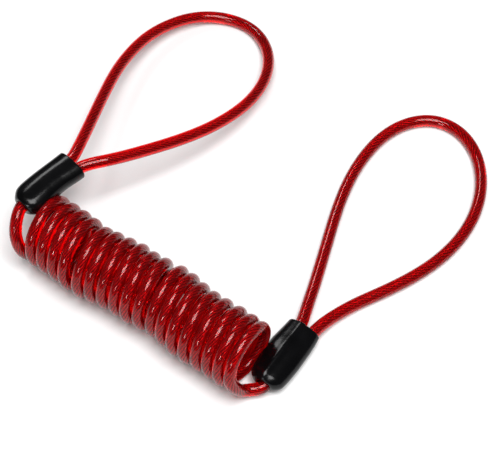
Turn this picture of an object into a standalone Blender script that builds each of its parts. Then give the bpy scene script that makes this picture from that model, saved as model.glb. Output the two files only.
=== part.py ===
"""Coiled steel cable lanyard with a crimped loop at each end.

One jacketed wire rope runs from end A, through the coil, to end B. At each end it turns back in a
loop and is crimped in a two-barrel sleeve, and a soft black boot covers the crimp.
Metres, +Z up, lying on z = 0. The coil's axis runs along +X, the loops lie towards +Y, and the
origin is under the middle of the whole object. Lengths in the lists below are in millimetres.
"""

import math

import bmesh
import bpy
import numpy as np
from mathutils import Vector

MM = 0.001

# Cable: red PVC jacket over a steel wire rope.
JACKET_RADIUS = 2.5 * MM
ROPE_RADIUS = 1.1 * MM

# Coil, lying on the ground: the outer shape of its 18 turns.
COIL_RADIUS = 12.85 * MM
COIL_OUTER = COIL_RADIUS + JACKET_RADIUS
COIL_Y = -68.6 * MM
COIL_START_X = -54.1 * MM
COIL_END_X = 50.5 * MM
COIL_SIDES = 28
COIL_EDGE = 2.0 * MM

# Crimp sleeve: two barrels side by side.
BARREL_OFFSET = 2.05 * MM
BORE_RADIUS = 1.4 * MM
SLEEVE_WALL = 1.4 * MM
SLEEVE_START = 6.2 * MM
SLEEVE_END = 18.7 * MM
CUT_EDGE = 0.4 * MM
CUTTER_OVERRUN = 5.0 * MM

# Boot: a soft cap over the sleeve, with a hole in its closed end and an open mouth.
BOOT_LENGTH = 30.0 * MM
BOOT_WALL = 1.0 * MM
TAIL_HOLE_RADIUS = 3.15 * MM
TAIL_HOLE_OFFSET = -1.6 * MM
LIP = 0.8 * MM
DOME_RELIEF = 0.2 * MM
DOME_STEPS = (0.1, 0.3, 0.6)
ARC_STEPS = 10

# Where each boot's closed end is, which way its mouth points (degrees from +X), and its half
# width and half height along its length (distance from the closed end, half width, half height).
ENDS = {
    "a": {
        "dome": (-62.55, -70.8, 27.0),
        "heading": 82.6,
        "stations": [(4, 6.6, 4.4), (10, 6.7, 4.5), (18, 6.8, 4.5), (24, 6.9, 4.4), (30, 7.0, 4.3)],
    },
    "b": {
        "dome": (58.9, -71.5, 4.8),
        "heading": 93.4,
        "stations": [(4, 7.0, 4.8), (10, 7.3, 4.8), (18, 7.2, 4.8), (24, 7.0, 4.5), (30, 6.9, 4.3)],
    },
}

# Routes of the cable's free stretches, in millimetres.
LOOP_A = [
    (-62.5, -49.6, 27.0), (-61.9, -45.2, 27.0), (-61.6, -41.4, 26.9), (-63.2, -34.4, 26.3),
    (-67.6, -22.6, 24.1), (-72.4, -10.5, 21.5), (-77.2, 2.0, 18.8), (-81.5, 14.9, 16.0),
    (-84.3, 28.1, 13.1), (-85.1, 41.0, 10.4), (-83.3, 53.0, 7.8), (-79.2, 63.5, 5.5),
    (-72.5, 71.6, 3.8), (-63.5, 76.5, 2.8), (-52.8, 77.4, 2.6), (-41.1, 71.8, 3.7),
    (-31.8, 60.2, 6.2), (-26.8, 46.5, 9.2), (-25.5, 33.4, 12.0), (-26.6, 21.5, 14.6),
    (-29.1, 10.7, 16.9), (-32.6, 0.8, 19.0), (-36.7, -8.5, 21.0), (-41.1, -17.3, 22.9),
    (-45.6, -25.8, 24.8), (-50.2, -33.2, 26.3), (-54.5, -39.2, 26.8), (-56.4, -43.6, 27.0),
    (-57.0, -46.8, 27.0), (-57.3, -50.3, 27.0),
]
LOOP_B = [
    (55.0, -50.7, 4.8), (54.8, -46.0, 4.8), (54.0, -41.2, 4.7), (51.3, -32.4, 3.7),
    (47.7, -21.5, 2.7), (43.9, -10.4, 2.6), (39.9, 1.0, 2.6), (35.9, 12.6, 2.6),
    (32.4, 24.6, 2.6), (30.0, 37.1, 2.6), (29.3, 49.6, 2.6), (30.9, 61.9, 2.6),
    (35.7, 72.6, 2.6), (43.9, 79.9, 2.6), (54.6, 81.6, 2.6), (65.5, 77.3, 2.6),
    (74.6, 68.5, 2.6), (80.9, 57.3, 2.6), (84.3, 45.1, 2.6), (85.0, 32.9, 2.6),
    (83.5, 21.3, 2.6), (80.4, 10.5, 2.6), (76.2, 0.5, 2.6), (71.4, -9.0, 2.6),
    (66.5, -18.3, 2.7), (62.6, -28.0, 3.3), (60.6, -36.0, 4.3), (60.0, -41.0, 4.7),
    (60.0, -46.0, 4.8), (60.3, -50.3, 4.8),
]
TAIL_A = [
    (-64.0, -66.2, 27.0), (-64.1, -70.6, 27.2), (-63.2, -74.2, 26.7), (-61.8, -77.4, 24.7),
    (-60.2, -79.9, 21.5), (-58.7, -81.3, 17.2), (-57.7, -81.2, 12.5), (-57.2, -79.2, 8.2),
    (-57.1, -75.8, 4.8), (-57.0, -71.5, 3.1),
]
TAIL_B = [
    (53.4, -80.9, 12.0), (53.4, -79.9, 8.6), (54.0, -78.0, 5.9), (55.4, -75.4, 4.6),
    (57.0, -72.3, 4.6), (57.3, -69.7, 4.8), (56.7, -67.2, 4.8),
]

# Bare rope through one barrel of a sleeve: distance from the boot's middle, distance along it.
ROPE_RUN = [(2.05, 4.75), (2.05, 9.0), (2.05, 14.0), (2.07, 18.6), (2.4, 20.2)]

# Distance between the points each stretch is drawn with.
LOOP_SPACING = 8.0 * MM
TAIL_A_SPACING = 4.0 * MM
TAIL_B_SPACING = 3.0 * MM
ROPE_SPACING = 3.0 * MM

RED = ("cable_red", (0.42, 0.01, 0.015, 1.0), 0.22, 0.0)
BLACK = ("boot_black", (0.012, 0.012, 0.013, 1.0), 0.38, 0.0)
ALUMINIUM = ("sleeve_aluminium", (0.72, 0.73, 0.75, 1.0), 0.35, 1.0)
STEEL = ("rope_steel", (0.55, 0.55, 0.56, 1.0), 0.3, 1.0)


def clear_scene():
    for old in list(bpy.data.objects):
        bpy.data.objects.remove(old, do_unlink=True)


def make_material(spec):
    name, colour, roughness, metallic = spec
    material = bpy.data.materials.get(name) or bpy.data.materials.new(name)
    material.use_nodes = True
    shader = material.node_tree.nodes["Principled BSDF"]
    shader.inputs["Base Color"].default_value = colour
    shader.inputs["Roughness"].default_value = roughness
    shader.inputs["Metallic"].default_value = metallic
    return material


def add_object(name, data, spec, parent=None):
    obj = bpy.data.objects.new(name, data)
    bpy.context.scene.collection.objects.link(obj)
    obj.data.materials.append(make_material(spec))
    obj.parent = parent
    return obj


def add_empty(name, location, rotation_z=0.0, parent=None):
    empty = bpy.data.objects.new(name, None)
    bpy.context.scene.collection.objects.link(empty)
    empty.parent = parent
    empty.location = location
    empty.rotation_euler.z = rotation_z
    return empty


def mesh_from_rings(name, rings, closed=False):
    """A body lofted through rings of points: closed in a circle, or with a flat cap at each end."""
    bm = bmesh.new()
    loops = [[bm.verts.new(point) for point in ring] for ring in rings]
    pairs = list(zip(loops, loops[1:]))
    if closed:
        pairs.append((loops[-1], loops[0]))
    for first, second in pairs:
        for i in range(len(first)):
            j = (i + 1) % len(first)
            bm.faces.new((first[i], first[j], second[j], second[i]))
    if not closed:
        bm.faces.new(loops[0])
        bm.faces.new(loops[-1])
    bmesh.ops.recalc_face_normals(bm, faces=bm.faces)
    mesh = bpy.data.meshes.new(name)
    bm.to_mesh(mesh)
    bm.free()
    mesh.shade_smooth()
    mesh.set_sharp_from_angle(angle=math.radians(40))
    return mesh


def smooth_route(points, spacing):
    """Natural cubic spline through the points, read at even steps of about the given spacing."""
    knots = np.array(points, dtype=float) * MM
    at = np.concatenate(([0.0], np.cumsum(np.linalg.norm(np.diff(knots, axis=0), axis=1))))
    step = np.diff(at)
    count = len(knots)
    system = np.eye(count)
    pull = np.zeros((count, 3))
    for i in range(1, count - 1):
        system[i, i - 1:i + 2] = step[i - 1], 2.0 * (step[i - 1] + step[i]), step[i]
        slopes = (knots[i + 1] - knots[i]) / step[i] - (knots[i] - knots[i - 1]) / step[i - 1]
        pull[i] = 6.0 * slopes
    bend = np.linalg.solve(system, pull)
    route = []
    for s in np.linspace(0.0, at[-1], round(at[-1] / spacing) + 1):
        i = min(int(np.searchsorted(at, s, side="right")) - 1, count - 2)
        h, before, after = step[i], s - at[i], at[i + 1] - s
        cubic = (bend[i] * after ** 3 + bend[i + 1] * before ** 3) / (6.0 * h)
        line = (knots[i] / h - bend[i] * h / 6.0) * after
        line += (knots[i + 1] / h - bend[i + 1] * h / 6.0) * before
        route.append(Vector(cubic + line))
    return route


def add_tube(name, points, radius, spacing, spec, origin=(0.0, 0.0, 0.0), parent=None):
    """A round cord: a curve with a bevel and filled ends, its origin at the given point."""
    curve = bpy.data.curves.new(name, "CURVE")
    curve.dimensions = "3D"
    curve.bevel_depth = radius
    curve.bevel_resolution = 2
    curve.use_fill_caps = True
    spline = curve.splines.new("POLY")
    route = smooth_route(points, spacing)
    spline.points.add(len(route) - 1)
    for slot, point in zip(spline.points, route):
        slot.co = (*(point - Vector(origin)), 1.0)
    spline.use_smooth = True
    tube = add_object(name, curve, spec, parent)
    tube.location = origin
    return tube


def stadium(along, half_width, half_height, offset=0.0):
    """Points of a flat-topped oval across the local +Y axis: two half circles and two flats."""
    points = []
    for side in (1, -1):
        for i in range(ARC_STEPS + 1):
            angle = math.pi * (i / ARC_STEPS - 0.5)
            x = half_width - half_height + half_height * math.cos(angle)
            points.append((offset + side * x, along, side * half_height * math.sin(angle)))
    return points


def boot_rings(stations):
    """Outer skin from the tail hole to the mouth, then the inner skin back to the tail hole."""
    hole = TAIL_HOLE_RADIUS
    rim = hole + LIP
    body = [(s * MM, w * MM, h * MM) for s, w, h in stations]
    start, wide, high = body[0]
    outer = [stadium(0.0, rim, rim, TAIL_HOLE_OFFSET)]
    for step in DOME_STEPS:
        rise = math.sqrt(1.0 - (1.0 - step) ** 2)
        half_width = rim + (wide - rim) * rise
        half_height = rim + (high - rim) * rise
        outer.append(stadium(start * step, half_width, half_height, TAIL_HOLE_OFFSET * (1.0 - rise)))
    outer += [stadium(s, w, h) for s, w, h in body]
    inner = [stadium(s, w - BOOT_WALL, h - BOOT_WALL) for s, w, h in reversed(body)]
    inner.append(stadium(BOOT_WALL + LIP, wide - BOOT_WALL - LIP, high - BOOT_WALL - DOME_RELIEF))
    inner.append(stadium(BOOT_WALL, hole, hole, TAIL_HOLE_OFFSET))
    inner.append(stadium(0.0, hole, hole, TAIL_HOLE_OFFSET))
    return outer + inner


def make_sleeve(end, place):
    """The crimp sleeve: an oval bar with a bore for each run of the rope."""
    high = BORE_RADIUS + SLEEVE_WALL
    wide = BARREL_OFFSET + high
    edges = [(SLEEVE_START, CUT_EDGE), (SLEEVE_START + CUT_EDGE, 0.0),
             (SLEEVE_END - CUT_EDGE, 0.0), (SLEEVE_END, CUT_EDGE)]
    rings = [stadium(s, wide - cut, high - cut) for s, cut in edges]
    sleeve = add_object(f"ferrule_{end}", mesh_from_rings(f"ferrule_{end}", rings), ALUMINIUM, place)
    for side in (-1, 1):
        name = f"bore_cutter_{end}_{'dead' if side > 0 else 'live'}"
        ends = [stadium(s, BORE_RADIUS, BORE_RADIUS, side * BARREL_OFFSET)
                for s in (SLEEVE_START - CUTTER_OVERRUN, SLEEVE_END + CUTTER_OVERRUN)]
        cutter = add_object(name, mesh_from_rings(name, ends), ALUMINIUM, place)
        cutter.hide_render = True
        cutter.display_type = "WIRE"
        cut = sleeve.modifiers.new(name, "BOOLEAN")
        cut.object = cutter
        cut.operation = "DIFFERENCE"
        cut.solver = "EXACT"


def make_end(end, body):
    """Boot, sleeve and the two bare runs of rope at one end, in the boot's own axes."""
    place = add_empty(f"place_{end}", Vector(ENDS[end]["dome"]) * MM,
                      math.radians(ENDS[end]["heading"] - 90.0), body)
    rings = boot_rings(ENDS[end]["stations"])
    add_object(f"boot_{end}", mesh_from_rings(f"boot_{end}", rings, closed=True), BLACK, place)
    make_sleeve(end, place)
    for name, side in (("live", -1), ("dead", 1)):
        run = [(side * across, along, 0.0) for across, along in ROPE_RUN]
        add_tube(f"rope_{name}_{end}", run, ROPE_RADIUS, ROPE_SPACING, STEEL, parent=place)


def make_coil():
    """The coil's outer shape: one closed round bar, lying on one of its flats."""
    radius = COIL_OUTER / math.cos(math.pi / COIL_SIDES)
    edges = [(COIL_START_X, COIL_EDGE), (COIL_START_X + COIL_EDGE, 0.0),
             (COIL_END_X - COIL_EDGE, 0.0), (COIL_END_X, COIL_EDGE)]
    rings = []
    for x, cut in edges:
        turn = [2.0 * math.pi * (i + 0.5) / COIL_SIDES for i in range(COIL_SIDES)]
        rings.append([(x, (radius - cut) * math.sin(a), (radius - cut) * math.cos(a)) for a in turn])
    coil = add_object("cable_coil", mesh_from_rings("cable_coil", rings), RED)
    coil.location = (0.0, COIL_Y, COIL_OUTER)


def mouth(end):
    """Where the loop bends: the middle of the boot's mouth."""
    heading = math.radians(ENDS[end]["heading"])
    reach = Vector((math.cos(heading), math.sin(heading), 0.0)) * BOOT_LENGTH
    return Vector(ENDS[end]["dome"]) * MM + reach


def main():
    clear_scene()
    sliding_end = add_empty("end_b", (COIL_END_X, COIL_Y, COIL_OUTER))
    make_coil()
    make_end("a", None)
    make_end("b", None)
    add_tube("cable_tail_a", TAIL_A, JACKET_RADIUS, TAIL_A_SPACING, RED)
    add_tube("cable_tail_b", TAIL_B, JACKET_RADIUS, TAIL_B_SPACING, RED)
    add_tube("cable_loop_a", LOOP_A, JACKET_RADIUS, LOOP_SPACING, RED, origin=mouth("a"))
    add_tube("cable_loop_b", LOOP_B, JACKET_RADIUS, LOOP_SPACING, RED, origin=mouth("b"))
    bpy.context.view_layer.update()
    for name in ("place_b", "cable_tail_b", "cable_loop_b"):
        piece = bpy.data.objects[name]
        piece.parent = sliding_end
        piece.matrix_parent_inverse = sliding_end.matrix_world.inverted()


main()
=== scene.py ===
"""The looks of the coiled cable lanyard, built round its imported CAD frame.

One clear red PVC jacket over a twisted steel rope makes the coil and the two loops, and a moulded
black vinyl boot covers the crimp at each end. Lengths in the lists below are in millimetres.
"""

import math

import bpy
import numpy as np
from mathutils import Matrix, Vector


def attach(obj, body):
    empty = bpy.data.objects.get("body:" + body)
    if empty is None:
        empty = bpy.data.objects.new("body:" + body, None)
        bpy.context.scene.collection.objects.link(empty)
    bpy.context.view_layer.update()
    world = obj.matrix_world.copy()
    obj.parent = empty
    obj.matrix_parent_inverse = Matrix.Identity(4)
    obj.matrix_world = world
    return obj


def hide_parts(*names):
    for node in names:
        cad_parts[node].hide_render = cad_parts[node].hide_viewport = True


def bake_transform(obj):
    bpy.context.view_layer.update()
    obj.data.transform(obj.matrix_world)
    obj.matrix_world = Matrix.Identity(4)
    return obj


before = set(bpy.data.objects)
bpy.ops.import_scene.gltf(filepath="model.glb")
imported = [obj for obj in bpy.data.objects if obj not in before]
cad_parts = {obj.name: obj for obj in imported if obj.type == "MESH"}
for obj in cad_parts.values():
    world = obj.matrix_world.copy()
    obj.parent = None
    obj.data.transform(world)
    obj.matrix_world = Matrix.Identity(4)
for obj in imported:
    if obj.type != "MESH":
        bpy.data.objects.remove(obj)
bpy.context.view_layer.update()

MM = 0.001
TINY = 0.001

# Cable. The jacket is drawn 0.1 mm larger in radius than the CAD's bars.
JACKET_RADIUS = 2.6
ROPE_RADIUS = 1.1
ROPE_LAY = 15.0
STRANDS = 6
JACKET_SIDES = 28
ROPE_SIDES = 42
JACKET_STEP = 1.1
ROPE_STEP = 0.75
WIRES = 7
WIRE_LAY = 6.9

# Coil.
TURNS = 18
PITCH = 5.86
COIL_RADIUS = 12.85
COIL_START_X = -51.8
COIL_Y = -68.6
COIL_Z = 15.45
COIL_FIRST = -0.62
COIL_LAST = TURNS - 0.78
POINTS_PER_TURN = 24

# How the turns stray from an even coil, as (turn, distance) pairs: along the coil, how far the
# crests and then the fronts lead the rest of their turns, and to the side.
COIL_GAPS = [(0, -0.8), (3.3, -0.8), (3.8, 0.3), (4.8, -0.5), (9.4, -0.5), (9.9, 0.7), (11, 0.1),
             (14, 0.5), (15.6, 0.75), (16, 0.5), (16.6, 0.0), (17, 0.05), (18, 0.05)]
COIL_LEAN = [(0, -0.2), (3, -0.2), (4, 0.6), (9, 0.6), (10, 0.2), (13, 0.1), (16, -0.8), (18, -1.0)]
COIL_PUSH = [(0, 0.4), (3, 0.4), (4, 0.9), (9, 0.9), (10, 0.2), (14, 0.2), (15, -0.5), (17, -0.6)]
COIL_SWAY = [(0, 0.2), (2, -0.2), (4, -1.3), (5, -0.3), (7, 1.0), (8, 0.4), (10, 1.7), (11, 1.1),
             (12, -0.1), (13, -0.6), (15, -0.2), (17, -0.8)]

# Where each boot's closed end is, and which way its mouth points, in degrees from +X.
ENDS = {
    "a": {"dome": (-62.55, -70.8, 27.0), "heading": 82.6},
    "b": {"dome": (58.9, -71.5, 4.8), "heading": 93.4},
}
BOOT_LENGTH = 30.0

# Flex of a loop: how far from the mouth its bent legs' two straight stretches would meet, and the
# joint's limit in degrees.
FLEX_CORNER = 12.0
FLEX_LIMIT = 60.0

# Boots in their own axes: how many degrees they lean about their length, how far they are lifted,
# how square they are, where the tail hole is, how high the ridge is, and rows of the distance from
# the closed end, the reach to the left and to the right of the axis, and the half height.
BOOTS = {
    "a": {
        "lean": 6.0, "lift": 0.2, "square": 2.5, "tail": -0.6, "ridge": 0.1,
        "stations": [
            (0.0, 5.6, 4.9, 4.4), (2.0, 6.8, 5.8, 4.7), (5.0, 7.8, 6.5, 4.8),
            (10.0, 7.9, 6.4, 4.8), (15.0, 7.8, 5.9, 4.7), (20.0, 7.6, 6.0, 4.5),
            (24.0, 7.4, 6.6, 4.4), (28.4, 7.3, 7.0, 4.3),
        ],
    },
    "b": {
        "lean": 12.0, "lift": 0.5, "square": 2.2, "tail": -2.2, "ridge": 0.7,
        "stations": [
            (0.0, 8.4, 3.8, 4.4), (3.0, 9.5, 5.1, 4.8), (8.0, 9.8, 5.9, 4.9),
            (14.0, 9.8, 6.4, 4.9), (19.0, 9.7, 6.5, 4.8), (22.0, 9.1, 6.6, 4.5),
            (27.0, 8.3, 6.5, 4.3), (30.0, 7.9, 6.2, 4.2),
        ],
    },
}
BOOT_WALL = 1.2
BOOT_SIDES = 72
DOME_LENGTH = 3.6
DOME_STEPS = 15
SKIN_STEP = 0.7
LINING_STEP = 1.0
CORNER_EASE = 2.0
EASE_SAMPLES = 9
LIP = 0.5
LIP_STEPS = 8
RIDGE_PLACE = -2.0
RIDGE_WIDTH = 1.6
TAIL_HOLE = 2.8

# Routes of the cable's free stretches. The loops are the CAD's, and the tails run within 3 mm of
# the CAD's, so that they meet the uneven turns.
LOOP_A = [
    (-62.5, -49.6, 27.0), (-61.9, -45.2, 27.0), (-61.6, -41.4, 26.9), (-63.2, -34.4, 26.3),
    (-67.6, -22.6, 24.1), (-72.4, -10.5, 21.5), (-77.2, 2.0, 18.8), (-81.5, 14.9, 16.0),
    (-84.3, 28.1, 13.1), (-85.1, 41.0, 10.4), (-83.3, 53.0, 7.8), (-79.2, 63.5, 5.5),
    (-72.5, 71.6, 3.8), (-63.5, 76.5, 2.8), (-52.8, 77.4, 2.6), (-41.1, 71.8, 3.7),
    (-31.8, 60.2, 6.2), (-26.8, 46.5, 9.2), (-25.5, 33.4, 12.0), (-26.6, 21.5, 14.6),
    (-29.1, 10.7, 16.9), (-32.6, 0.8, 19.0), (-36.7, -8.5, 21.0), (-41.1, -17.3, 22.9),
    (-45.6, -25.8, 24.8), (-50.2, -33.2, 26.3), (-54.5, -39.2, 26.8), (-56.4, -43.6, 27.0),
    (-57.0, -46.8, 27.0), (-57.3, -50.3, 27.0),
]
LOOP_B = [
    (55.0, -50.7, 4.8), (54.8, -46.0, 4.8), (54.0, -41.2, 4.7), (51.3, -32.4, 3.7),
    (47.7, -21.5, 2.7), (43.9, -10.4, 2.6), (39.9, 1.0, 2.6), (35.9, 12.6, 2.6),
    (32.4, 24.6, 2.6), (30.0, 37.1, 2.6), (29.3, 49.6, 2.6), (30.9, 61.9, 2.6),
    (35.7, 72.6, 2.6), (43.9, 79.9, 2.6), (54.6, 81.6, 2.6), (65.5, 77.3, 2.6),
    (74.6, 68.5, 2.6), (80.9, 57.3, 2.6), (84.3, 45.1, 2.6), (85.0, 32.9, 2.6),
    (83.5, 21.3, 2.6), (80.4, 10.5, 2.6), (76.2, 0.5, 2.6), (71.4, -9.0, 2.6),
    (66.5, -18.3, 2.7), (62.6, -28.0, 3.3), (60.6, -36.0, 4.3), (60.0, -41.0, 4.7),
    (60.0, -46.0, 4.8), (60.3, -50.3, 4.8),
]
TAIL_A = [
    (-63.4, -66.2, 27.0), (-63.2, -70.6, 27.2), (-61.6, -75.6, 26.1), (-60.1, -79.0, 22.9),
    (-58.1, -81.2, 18.0),
]
TAIL_B = [
    (50.4, -80.6, 10.0), (51.2, -78.9, 6.4), (52.5, -76.9, 4.4), (54.4, -74.9, 4.0),
    (57.3, -71.6, 4.7), (56.7, -67.2, 4.8),
]

# Camera: it looks at TARGET from that azimuth and elevation.
TARGET = (10.6, -14.4, 0.0)
CAMERA_DISTANCE = 588.5
AZIMUTH = 35.0
ELEVATION = 57.5
LENS = 100.0
SENSOR = 36.0

# Studio: area lights as (name, azimuth, elevation, size, power), in degrees, metres and watts.
LIGHTS = [
    ("softbox", 55.0, 74.0, 0.6, 12.0),
    ("behind", -125.0, 48.0, 0.25, 1.6),
    ("front", 10.0, 23.0, 0.2, 2.0),
]
LIGHT_DISTANCE = 1.0
WORLD_STRENGTH = 0.08
FLOOR_HALF = 8.0


# ---------------------------------------------------------------- routes

def spline_through(points, spacing):
    """Natural cubic spline through the points, read at even steps of about the given spacing."""
    knots = np.array(points, dtype=float)
    at = np.concatenate(([0.0], np.cumsum(np.linalg.norm(np.diff(knots, axis=0), axis=1))))
    step = np.diff(at)
    count = len(knots)
    system = np.eye(count)
    pull = np.zeros((count, 3))
    for i in range(1, count - 1):
        system[i, i - 1:i + 2] = step[i - 1], 2.0 * (step[i - 1] + step[i]), step[i]
        slopes = (knots[i + 1] - knots[i]) / step[i] - (knots[i] - knots[i - 1]) / step[i - 1]
        pull[i] = 6.0 * slopes
    bend = np.linalg.solve(system, pull)
    s = np.linspace(0.0, at[-1], round(at[-1] / spacing) + 1)
    i = np.clip(np.searchsorted(at, s, side="right") - 1, 0, count - 2)
    h, before, after = step[i][:, None], (s - at[i])[:, None], (at[i + 1] - s)[:, None]
    cubic = (bend[i] * after ** 3 + bend[i + 1] * before ** 3) / (6.0 * h)
    line = (knots[i] / h - bend[i] * h / 6.0) * after
    return cubic + line + (knots[i + 1] / h - bend[i + 1] * h / 6.0) * before


def lengths_along(route):
    """Distance of each point from the route's start."""
    return np.concatenate(([0.0], np.cumsum(np.linalg.norm(np.diff(route, axis=0), axis=1))))


def coil_point(turn):
    """A point of the coil's line, at that many turns after its first crest."""
    angle = 2.0 * math.pi * turn
    x = COIL_START_X + PITCH * turn + np.interp(turn, *zip(*COIL_GAPS))
    x += np.interp(turn, *zip(*COIL_LEAN)) * math.cos(angle)
    x += np.interp(turn, *zip(*COIL_PUSH)) * math.sin(angle)
    y = COIL_Y + np.interp(turn, *zip(*COIL_SWAY)) - COIL_RADIUS * math.sin(angle)
    return x, y, COIL_Z + COIL_RADIUS * math.cos(angle)


def coil_route():
    """The tail out of boot A, the turns, and the tail into boot B."""
    count = round((COIL_LAST - COIL_FIRST) * POINTS_PER_TURN)
    turns = np.linspace(COIL_FIRST, COIL_LAST, count + 1)
    return TAIL_A + [coil_point(turn) for turn in turns] + TAIL_B


# ---------------------------------------------------------------- swept meshes

def frames_along(route):
    """Two directions across the route at each point, carried along it without twisting."""
    tangents = np.gradient(route, axis=0)
    tangents /= np.linalg.norm(tangents, axis=1)[:, None]
    side = np.cross(tangents[0], (0.0, 0.0, 1.0))
    sides = []
    for tangent in tangents:
        side = side - tangent * (side @ tangent)
        side = side / np.linalg.norm(side)
        sides.append(side)
    sides = np.array(sides)
    return sides, np.cross(tangents, sides)


def sweep(name, route, outlines):
    """A closed mesh through one outline (distance and angle of each point) at each route point."""
    sides, ups = frames_along(route)
    radii, angles = outlines
    rings = (route[:, None, :]
             + (radii * np.cos(angles))[:, :, None] * sides[:, None, :]
             + (radii * np.sin(angles))[:, :, None] * ups[:, None, :])
    return ring_mesh(name, rings, False)


def ring_mesh(name, rings, closed):
    """A mesh through rings of points: closed on itself, or capped at both ends.

    Its UV map runs once around each ring and counts the rings along the piece.
    """
    count, around = rings.shape[:2]
    quads, uvs = [], []
    for i in range(count if closed else count - 1):
        n = (i + 1) % count
        for j in range(around):
            k = (j + 1) % around
            quads.append((i * around + j, i * around + k, n * around + k, n * around + j))
            u, v = j / around, (j + 1) / around
            uvs += [(u, i), (v, i), (v, i + 1), (u, i + 1)]
    if not closed:
        quads.append(tuple(reversed(range(around))))
        quads.append(tuple((count - 1) * around + j for j in range(around)))
        uvs += [(0.0, 0.0)] * around + [(0.0, count - 1.0)] * around
    mesh = bpy.data.meshes.new(name)
    mesh.from_pydata((rings * MM).reshape(-1, 3).tolist(), [], quads)
    mesh.uv_layers.new(name="along").data.foreach_set("uv", np.array(uvs, dtype=np.float32).ravel())
    mesh.shade_smooth()
    obj = bpy.data.objects.new(name, mesh)
    bpy.context.scene.collection.objects.link(obj)
    return obj


def jacket_outline(along):
    angles = np.tile(np.linspace(0.0, 2.0 * math.pi, JACKET_SIDES, endpoint=False), (len(along), 1))
    return np.full(angles.shape, JACKET_RADIUS), angles


def rope_outline(along):
    """Six round strands laid right-handed round a core."""
    turn = np.linspace(0.0, 2.0 * math.pi, ROPE_SIDES, endpoint=False)
    local = (turn * STRANDS / (2.0 * math.pi)) % 1.0 * (2.0 * math.pi / STRANDS) - math.pi / STRANDS
    strand = ROPE_RADIUS / 3.0
    centre = ROPE_RADIUS - strand
    reach = np.sqrt(np.maximum(strand ** 2 - (centre * np.sin(local)) ** 2, 0.0))
    radius = centre * np.cos(local) + reach
    angles = turn[None, :] + 2.0 * math.pi * along[:, None] / ROPE_LAY
    return np.tile(radius, (len(along), 1)), angles


def cable(name, points, replaced):
    """Jacket and rope along the points; returns both with the route that the jacket follows."""
    fine = spline_through(points, JACKET_STEP)
    jacket = sweep(f"jacket_{name}", fine, jacket_outline(lengths_along(fine)))
    route = spline_through(points, ROPE_STEP)
    rope = sweep(f"rope_{name}", route, rope_outline(lengths_along(route)))
    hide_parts(*replaced)
    return jacket, rope, fine, route


# ---------------------------------------------------------------- materials

def new_material(name):
    material = bpy.data.materials.new(name)
    material.use_nodes = True
    return material, material.node_tree, material.node_tree.nodes["Principled BSDF"]


def set_inputs(node, **values):
    for key, value in values.items():
        node.inputs[key.replace("_", " ")].default_value = value


def noise(tree, scale, detail=2.0):
    """Noise over the piece's own coordinates, in features per metre."""
    place = tree.nodes.new("ShaderNodeTexCoord")
    texture = tree.nodes.new("ShaderNodeTexNoise")
    set_inputs(texture, Scale=scale, Detail=detail)
    tree.links.new(place.outputs["Object"], texture.inputs["Vector"])
    return texture.outputs["Fac"]


def math_node(tree, operation, first, second=0.0):
    node = tree.nodes.new("ShaderNodeMath")
    node.operation = operation
    for socket, value in zip(node.inputs, (first, second)):
        if isinstance(value, bpy.types.NodeSocket):
            tree.links.new(value, socket)
        else:
            socket.default_value = value
    return node.outputs["Value"]


def value_range(tree, factor, low, span):
    """A value that runs from low to low + span along a factor."""
    node = tree.nodes.new("ShaderNodeMath")
    node.operation = "MULTIPLY_ADD"
    tree.links.new(factor, node.inputs[0])
    node.inputs[1].default_value = span
    node.inputs[2].default_value = low
    return node.outputs["Value"]


def colour_ramp(tree, factor, *stops):
    """Colours along a factor, as (position, colour) pairs."""
    ramp = tree.nodes.new("ShaderNodeValToRGB")
    elements = ramp.color_ramp.elements
    while len(elements) < len(stops):
        elements.new(0.5)
    for element, (position, colour) in zip(elements, stops):
        element.position = position
        element.color = (*colour, 1.0)
    tree.links.new(factor, ramp.inputs["Fac"])
    return ramp.outputs["Color"]


def bump(tree, height, distance):
    """A normal raised by that distance, in metres, over the height's full range."""
    node = tree.nodes.new("ShaderNodeBump")
    set_inputs(node, Strength=1.0, Distance=distance)
    tree.links.new(height, node.inputs["Height"])
    return node.outputs["Normal"]


def jacket_material():
    """Clear red PVC: it colours the light that passes through it."""
    material, tree, shader = new_material("clear_red_pvc")
    set_inputs(shader, IOR=1.42, Transmission_Weight=0.92, Specular_Tint=(1.0, 0.7, 0.7, 1.0))
    waves = noise(tree, 260.0, 0.0)
    tint = colour_ramp(tree, waves, (0.35, (0.9, 0.006, 0.01)), (0.65, (0.98, 0.01, 0.016)))
    tree.links.new(tint, shader.inputs["Base Color"])
    rough = value_range(tree, noise(tree, 200.0, 0.0), 0.06, 0.06)
    tree.links.new(rough, shader.inputs["Roughness"])
    tree.links.new(bump(tree, waves, 0.00002), shader.inputs["Normal"])
    absorb = tree.nodes.new("ShaderNodeVolumeAbsorption")
    set_inputs(absorb, Color=(0.955, 0.0, 0.03, 1.0), Density=500.0)
    tree.links.new(absorb.outputs["Volume"], tree.nodes["Material Output"].inputs["Volume"])
    return material


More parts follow.
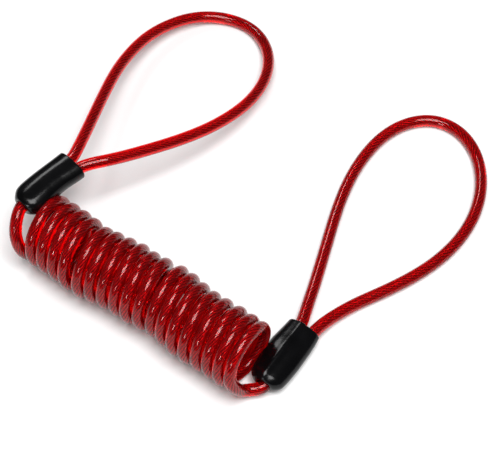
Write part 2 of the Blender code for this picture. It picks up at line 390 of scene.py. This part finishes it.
def steel_material(wires):
    """Bare steel; on the rope, wires wind round the strands, and the grooves between them are
    darkened with painted shade.
    """
    material, tree, shader = new_material("stranded_steel" if wires else "drawn_steel")
    set_inputs(shader, Metallic=1.0)
    grain = noise(tree, 900.0)
    tree.links.new(value_range(tree, grain, 0.32, 0.2), shader.inputs["Roughness"])
    if wires:
        place = tree.nodes.new("ShaderNodeUVMap")
        place.uv_map = "along"
        split = tree.nodes.new("ShaderNodeSeparateXYZ")
        tree.links.new(place.outputs["UV"], split.inputs["Vector"])
        around = math_node(tree, "MULTIPLY", split.outputs["X"], 2.0 * math.pi * WIRES)
        slant = ROPE_STEP * WIRES * (1.0 / WIRE_LAY - 1.0 / ROPE_LAY)
        along = math_node(tree, "MULTIPLY", split.outputs["Y"], 2.0 * math.pi * slant)
        ridges = math_node(tree, "SINE", math_node(tree, "SUBTRACT", around, along))
        tree.links.new(bump(tree, ridges, 0.00003), shader.inputs["Normal"])
        # Painted shade: the base colour is darkened in the grooves between the strands, where shade
        # would fall, so from here the grain also carries this painted groove shade.
        strands = math_node(tree, "MULTIPLY", split.outputs["X"], 2.0 * math.pi * STRANDS)
        painted_groove_shade = math_node(tree, "MAXIMUM", math_node(tree, "COSINE", strands), 0.0)
        grain = math_node(tree, "SUBTRACT", grain, math_node(tree, "MULTIPLY", painted_groove_shade, 0.6))
    shade = colour_ramp(tree, grain, (0.0, (0.06, 0.06, 0.06)), (0.3, (0.44, 0.44, 0.45)),
                        (0.7, (0.58, 0.58, 0.59)))
    tree.links.new(shade, shader.inputs["Base Color"])
    return material


def vinyl_material():
    """Dipped black vinyl: glossy, with a faint orange peel."""
    material, tree, shader = new_material("black_vinyl")
    set_inputs(shader, Specular_IOR_Level=0.25)
    peel = noise(tree, 700.0)
    shade = colour_ramp(tree, noise(tree, 120.0, 4.0), (0.3, (0.001, 0.001, 0.0012)),
                        (0.7, (0.0025, 0.0025, 0.003)))
    tree.links.new(shade, shader.inputs["Base Color"])
    tree.links.new(value_range(tree, noise(tree, 200.0), 0.14, 0.1), shader.inputs["Roughness"])
    tree.links.new(bump(tree, peel, 0.00003), shader.inputs["Normal"])
    return material


# ---------------------------------------------------------------- the cable


def make_coil(jacket_look, rope_look):
    jacket, rope, fine, route = cable(
        "coil", coil_route(), ("cable_tail_a", "cable_coil", "cable_tail_b"))
    for obj, line in ((jacket, fine), (rope, route)):
        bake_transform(obj)
    jacket.data.materials.append(jacket_look)
    rope.data.materials.append(rope_look)


def end_point(end, along):
    heading = math.radians(ENDS[end]["heading"])
    place = Vector(ENDS[end]["dome"]) + Vector((math.cos(heading), math.sin(heading), 0.0)) * along
    return place * MM


def flex_shares(obj, line, end):
    """How far each vertex of a loop swings with it, so that the loop's legs bend in a smooth arc.

    A point of the cable at a distance d from the mouth goes f(d) of it along the swung direction
    and the rest along the boot's, and the share f(d) / d does that. Across the cable the share
    varies a little, so that the cable keeps its thickness through the bend.
    """
    heading = math.radians(ENDS[end]["heading"])
    mouth = np.array(end_point(end, BOOT_LENGTH)) / MM
    forward = np.array((math.cos(heading), math.sin(heading), 0.0))
    coords = np.empty(len(obj.data.vertices) * 3, dtype=np.float32)
    obj.data.vertices.foreach_get("co", coords)
    coords = coords.reshape(len(line), -1, 3) / MM
    d = np.maximum((coords - mouth) @ forward, TINY)
    reach = d.max()
    u = np.minimum(d / (2.0 * FLEX_CORNER), 1.0)
    v = np.clip((d - 2.0 * FLEX_CORNER) / (reach - 2.0 * FLEX_CORNER), 0.0, 1.0)
    lag = FLEX_CORNER * (1.0 - v ** 2 * (3.0 - 2.0 * v))
    lag_slope = -6.0 * FLEX_CORNER * v * (1.0 - v) / (reach - 2.0 * FLEX_CORNER)
    bending = u < 1.0
    f = np.where(bending, 2.0 * FLEX_CORNER * (u ** 3 - u ** 4 / 2.0), d - lag)
    slope = np.where(bending, u ** 2 * (3.0 - 2.0 * u), 1.0 - lag_slope)
    share = f / d
    limit = math.radians(FLEX_LIMIT)
    turned = np.arctan2(slope * math.sin(limit), 1.0 - slope + slope * math.cos(limit))
    kept = (1.0 - share) * np.cos(turned) + share * np.cos(turned - limit)
    pull = d * (math.sin(limit) * np.cos(turned) + (1.0 - math.cos(limit)) * np.sin(turned))
    above = coords[:, :, 2] - line[:, None, 2]
    return np.clip(share + above * (1.0 - kept) / pull, 0.0, 1.0)


def make_loop(end, points, jacket_look, rope_look):
    jacket, rope, fine, route = cable(f"loop_{end}", points, (f"cable_loop_{end}",))
    for obj, line in ((jacket, fine), (rope, route)):
        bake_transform(obj)
        flex_shares(obj, line, end)
    jacket.data.materials.append(jacket_look)
    rope.data.materials.append(rope_look)


# ---------------------------------------------------------------- boots

def station(rows, along):
    """Left and right reach and half height at a distance along a boot, its rows' corners eased."""
    columns = np.array(rows).T
    around = along + np.linspace(-CORNER_EASE, CORNER_EASE, EASE_SAMPLES)
    return [np.interp(around, columns[0], column).mean() for column in columns[1:]]


def oval(reach, inset, shape):
    """Outline of a boot across its axis, drawn in by that much, with the ridge over its sleeve."""
    left, right, high = (size - inset for size in reach)
    turn = np.linspace(0.0, 2.0 * math.pi, BOOT_SIDES, endpoint=False)
    power = 2.0 / shape["square"]
    across = np.sign(np.cos(turn)) * np.abs(np.cos(turn)) ** power
    up = np.sign(np.sin(turn)) * np.abs(np.sin(turn)) ** power
    side = across * (right + left) / 2.0
    ridge = shape["ridge"] * np.exp(-((side - RIDGE_PLACE) / RIDGE_WIDTH) ** 2)
    ridge = ridge * np.maximum(up, 0.0)
    return np.stack([(right - left) / 2.0 + side, up * high + ridge], axis=1)


def tail_hole(offset, radius):
    """Outline of the round hole in a boot's closed end."""
    turn = np.linspace(0.0, 2.0 * math.pi, BOOT_SIDES, endpoint=False)
    return np.stack([offset + radius * np.cos(turn), radius * np.sin(turn)], axis=1)


def boot_rings(shape):
    """Skin of a boot: out of the tail hole, over the dome, to the mouth and back inside."""
    rows, tail_offset = shape["stations"], shape["tail"]
    length = rows[-1][0]
    rim = tail_hole(tail_offset, TAIL_HOLE + LIP)
    hole = tail_hole(tail_offset, TAIL_HOLE)
    rings = []
    for step in range(DOME_STEPS):
        angle = math.pi / 2.0 * (1.0 - step / DOME_STEPS)
        share = math.cos(angle)
        along = DOME_LENGTH * (1.0 - math.sin(angle))
        rings.append((along, rim * (1.0 - share) + oval(station(rows, along), 0.0, shape) * share))
    for along in np.arange(DOME_LENGTH, length - LIP, SKIN_STEP):
        rings.append((along, oval(station(rows, along), 0.0, shape)))
    for step in range(LIP_STEPS + 1):
        angle = math.pi * step / LIP_STEPS
        inset = BOOT_WALL / 2.0 * (1.0 - math.cos(angle))
        along = length - LIP * (1.0 - math.sin(angle))
        rings.append((along, oval(station(rows, length), inset, shape)))
    for along in np.arange(length - LINING_STEP, DOME_LENGTH, -LINING_STEP):
        rings.append((along, oval(station(rows, along), BOOT_WALL, shape)))
    return rings + [(BOOT_WALL, rim), (BOOT_WALL / 2.0, hole), (0.0, hole)]


def in_boot_axes(end, rings):
    """Places rings of (along, outline) on the boot's axis, leaned about it."""
    heading = math.radians(ENDS[end]["heading"])
    lean = math.radians(BOOTS[end]["lean"])
    along_axis = np.array((math.cos(heading), math.sin(heading), 0.0))
    across = np.array((math.sin(heading), -math.cos(heading), 0.0))
    placed = []
    for along, outline in rings:
        side = outline[:, 0] * math.cos(lean) + outline[:, 1] * math.sin(lean)
        up = outline[:, 1] * math.cos(lean) - outline[:, 0] * math.sin(lean)
        up = up + BOOTS[end]["lift"]
        placed.append(np.array(ENDS[end]["dome"]) + along * along_axis
                      + side[:, None] * across + up[:, None] * np.array((0.0, 0.0, 1.0)))
    return np.array(placed)


def make_boot(end, body, look):
    boot = ring_mesh(f"boot_skin_{end}", in_boot_axes(end, boot_rings(BOOTS[end])), True)
    boot.data.materials.append(look)
    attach(boot, body)
    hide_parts(f"boot_{end}")


# ---------------------------------------------------------------- stage

def make_stage():
    """A plain white floor at z = 0."""
    corners = [(x * FLOOR_HALF, y * FLOOR_HALF, 0.0)
               for x, y in ((-1, -1), (1, -1), (1, 1), (-1, 1))]
    mesh = bpy.data.meshes.new("floor")
    mesh.from_pydata(corners, [], [(0, 1, 2, 3)])
    floor = bpy.data.objects.new("floor", mesh)
    bpy.context.scene.collection.objects.link(floor)
    material, tree, shader = new_material("floor_white")
    set_inputs(shader, Base_Color=(0.9, 0.9, 0.9, 1.0), Roughness=0.9)
    floor.data.materials.append(material)


def direction(azimuth, elevation):
    """Unit vector out to a viewpoint: azimuth 0 is in front of the object, on its -Y side."""
    around, up = math.radians(azimuth), math.radians(elevation)
    return Vector((math.sin(around) * math.cos(up), -math.cos(around) * math.cos(up),
                   math.sin(up)))


def make_light(name, azimuth, elevation, size, power):
    """A square area light that faces the origin, placed by azimuth and elevation."""
    data = bpy.data.lights.new(name, "AREA")
    data.shape = "RECTANGLE"
    data.size = size
    data.size_y = size
    data.energy = power
    light = bpy.data.objects.new(name, data)
    bpy.context.scene.collection.objects.link(light)
    towards = direction(azimuth, elevation)
    light.location = towards * LIGHT_DISTANCE
    light.rotation_mode = "QUATERNION"
    light.rotation_quaternion = (-towards).to_track_quat("-Z", "Y")


def make_camera():
    data = bpy.data.cameras.new("camera")
    data.lens = LENS
    data.sensor_width = SENSOR
    camera = bpy.data.objects.new("camera", data)
    bpy.context.scene.collection.objects.link(camera)
    back = direction(AZIMUTH, ELEVATION)
    camera.location = (Vector(TARGET) + back * CAMERA_DISTANCE) * MM
    camera.rotation_mode = "QUATERNION"
    camera.rotation_quaternion = (-back).to_track_quat("-Z", "Y")
    bpy.context.scene.camera = camera


def make_world():
    world = bpy.data.worlds.new("studio")
    bpy.context.scene.world = world
    world.use_nodes = True
    background = world.node_tree.nodes["Background"]
    background.inputs["Color"].default_value = (1.0, 1.0, 1.0, 1.0)
    background.inputs["Strength"].default_value = WORLD_STRENGTH


def main():
    bpy.context.scene.view_settings.view_transform = "Standard"
    red = jacket_material()
    steel = steel_material(True)
    black = vinyl_material()
    drawn = steel_material(False)
    make_coil(red, steel)
    make_loop("a", LOOP_A, red, steel)
    make_loop("b", LOOP_B, red, steel)
    make_boot("a", "root", black)
    make_boot("b", "end_b", black)
    for name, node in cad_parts.items():
        look = black if name.startswith("boot") else drawn
        for i in range(len(node.material_slots)):
            node.material_slots[i].material = look
    make_stage()
    for light in LIGHTS:
        make_light(*light)
    make_camera()
    make_world()


main()
